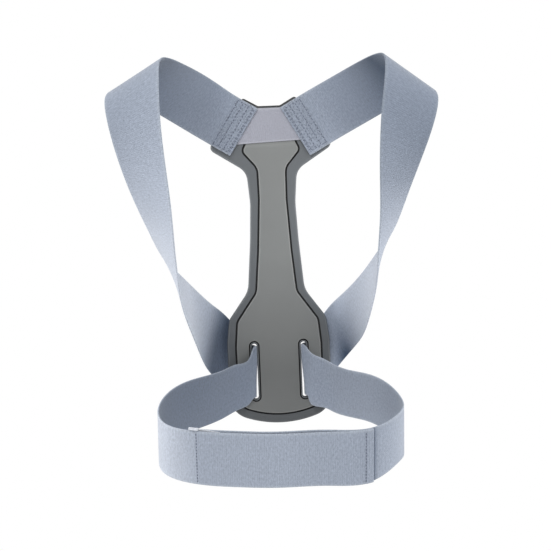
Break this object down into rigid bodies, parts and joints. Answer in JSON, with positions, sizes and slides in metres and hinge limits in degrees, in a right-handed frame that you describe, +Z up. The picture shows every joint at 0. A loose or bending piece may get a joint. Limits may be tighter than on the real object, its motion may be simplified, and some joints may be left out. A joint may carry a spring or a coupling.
{
  "type": "posture corrector",
  "caption": "Stiff back plate with two webbing straps that loop over the shoulders, pass through slots and close round the waist.",
  "frame": {"origin": "on the body side of the centre panel, on the plate's centre line, where the plate lies against the wearer's back", "axes": "+Z up along the back, +Y away from the wearer's body side, +X to the right as the body side is looked at"},
  "size_m": [0.2729, 0.1591, 0.3595],
  "materials": {
    "frame": "dark grey moulded plastic, fine matte grain",
    "panel": "warm grey satin plastic, a shade lighter than the frame",
    "webbing": "blue-grey elastic knit webbing with fine cross ribs",
    "band": "pale lilac-grey plain woven tape",
    "hook": "pale grey hook tape"
  },
  "bodies": {
    "root": {"back_frame": "frame", "centre_panel": "panel", "yoke_band": "band", "left_strap": "webbing", "right_strap": "webbing", "hook_patch": "hook"}
  },
  "joints": []
}
